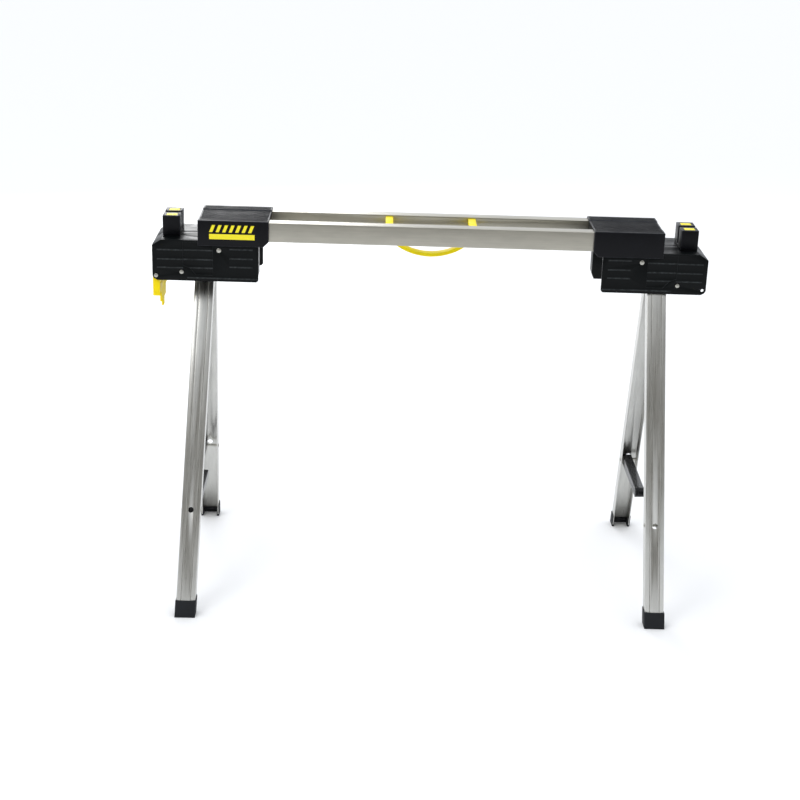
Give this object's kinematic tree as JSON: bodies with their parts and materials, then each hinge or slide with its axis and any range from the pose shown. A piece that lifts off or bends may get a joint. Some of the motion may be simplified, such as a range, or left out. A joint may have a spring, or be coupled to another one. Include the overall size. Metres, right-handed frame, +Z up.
{
  "type": "folding sawhorse",
  "caption": "Folding sawhorse: a twin-rail aluminium beam on splayed legs that close and swing up under it, with a board slot at each end.",
  "frame": {"origin": "on the floor, midway between the four feet", "axes": "+X along the beam towards the end without the latch, +Y from the labelled side to the other side, +Z up"},
  "size_m": [1.16, 0.5566, 0.81],
  "materials": {
    "rail_aluminium": "satin anodised extrusion",
    "leg_aluminium": "satin anodised extrusion",
    "slate_plastic": "fine moulded grain",
    "black_plastic": "fine moulded grain",
    "yellow_plastic": "moulded",
    "yellow_print": "printed film",
    "black_rubber": "moulded",
    "black_steel": "satin black enamel",
    "zinc_steel": "zinc plated"
  },
  "bodies": {
    "beam": {"front_rail": "rail_aluminium", "rear_rail": "rail_aluminium", "right_cap": "slate_plastic", "left_cap": "slate_plastic", "right_housing_front": "black_plastic", "right_housing_rear": "black_plastic", "left_housing_front": "black_plastic", "left_housing_rear": "black_plastic", "right_stop_post": "slate_plastic", "left_stop_post": "slate_plastic", "stop_pads": "yellow_plastic", "label_stripes": "yellow_print", "carry_handle": "yellow_plastic", "fold_axles": "zinc_steel", "axle_spacers": "zinc_steel", "cross_bolts": "zinc_steel", "bolt_sleeves": "zinc_steel", "rail_screws": "zinc_steel", "post_screws": "zinc_steel", "latch_pin": "zinc_steel"},
    "latch": {"latch": "yellow_plastic"},
    "right_hub": {"right_hub": "black_plastic", "right_leg_pins": "zinc_steel"},
    "right_front_leg": {"right_front_leg": "leg_aluminium", "right_front_foot": "black_rubber", "right_front_link_pin": "zinc_steel"},
    "right_front_link": {"right_front_link": "black_steel", "right_link_rivet": "zinc_steel"},
    "right_rear_leg": {"right_rear_leg": "leg_aluminium", "right_rear_foot": "black_rubber", "right_rear_link_pin": "zinc_steel"},
    "right_rear_link": {"right_rear_link": "black_steel"},
    "left_hub": {"left_hub": "black_plastic", "left_leg_pins": "zinc_steel"},
    "left_front_leg": {"left_front_leg": "leg_aluminium", "left_front_foot": "black_rubber", "left_front_link_pin": "zinc_steel"},
    "left_front_link": {"left_front_link": "black_steel"},
    "left_rear_leg": {"left_rear_leg": "leg_aluminium", "left_rear_foot": "black_rubber", "left_rear_link_pin": "zinc_steel"},
    "left_rear_link": {"left_rear_link": "black_steel", "left_link_rivet": "zinc_steel"}
  },
  "joints": [
    {"name": "right_fold", "type": "hinge", "parent": "beam", "child": "right_hub", "pos_m": [0.441, -0.03325, 0.747], "axis": [0, 1, 0], "range_deg": [0, 91]},
    {"name": "right_front_swing", "type": "hinge", "parent": "right_hub", "child": "right_front_leg", "pos_m": [0.478, -0.04025, 0.69], "axis": [0.9996, 0, 0.0297], "range_deg": [0, 17.19]},
    {"name": "right_rear_swing", "type": "hinge", "parent": "right_hub", "child": "right_rear_leg", "pos_m": [0.478, -0.02625, 0.69], "axis": [-0.9996, 0, -0.0297], "range_deg": [0, 22.03]},
    {"name": "right_front_link_fold", "type": "hinge", "parent": "right_front_leg", "child": "right_front_link", "pos_m": [0.49239, -0.19664, 0.205], "axis": [0.9996, 0, 0.0297], "range_deg": [0, 68.63]},
    {"name": "right_rear_link_fold", "type": "hinge", "parent": "right_rear_leg", "child": "right_rear_link", "pos_m": [0.49239, 0.17656, 0.205], "axis": [-0.9996, 0, -0.0297], "range_deg": [0, 64.14]},
    {"name": "left_fold", "type": "hinge", "parent": "beam", "child": "left_hub", "pos_m": [-0.441, 0.03325, 0.747], "axis": [0, -1, 0], "range_deg": [0, 91]},
    {"name": "left_rear_swing", "type": "hinge", "parent": "left_hub", "child": "left_rear_leg", "pos_m": [-0.478, 0.04025, 0.69], "axis": [-0.9996, 0, 0.0297], "range_deg": [0, 17.19]},
    {"name": "left_front_swing", "type": "hinge", "parent": "left_hub", "child": "left_front_leg", "pos_m": [-0.478, 0.02625, 0.69], "axis": [0.9996, 0, -0.0297], "range_deg": [0, 22.03]},
    {"name": "left_rear_link_fold", "type": "hinge", "parent": "left_rear_leg", "child": "left_rear_link", "pos_m": [-0.49239, 0.19664, 0.205], "axis": [-0.9996, 0, 0.0297], "range_deg": [0, 68.63]},
    {"name": "left_front_link_fold", "type": "hinge", "parent": "left_front_leg", "child": "left_front_link", "pos_m": [-0.49239, -0.17656, 0.205], "axis": [0.9996, 0, -0.0297], "range_deg": [0, 64.14]},
    {"name": "latch_swing", "type": "hinge", "parent": "beam", "child": "latch", "pos_m": [-0.5725, 0, 0.69], "axis": [0, 1, 0], "range_deg": [-40, 95]}
  ],
  "couplings": [
    {"joint": "right_front_swing", "follows": "right_fold", "ratio": 0.1889},
    {"joint": "right_rear_swing", "follows": "right_fold", "ratio": 0.24208},
    {"joint": "right_front_link_fold", "follows": "right_fold", "ratio": 0.75417},
    {"joint": "right_rear_link_fold", "follows": "right_fold", "ratio": 0.70483},
    {"joint": "left_rear_swing", "follows": "left_fold", "ratio": 0.1889},
    {"joint": "left_front_swing", "follows": "left_fold", "ratio": 0.24208},
    {"joint": "left_rear_link_fold", "follows": "left_fold", "ratio": 0.75417},
    {"joint": "left_front_link_fold", "follows": "left_fold", "ratio": 0.70483}
  ]
}
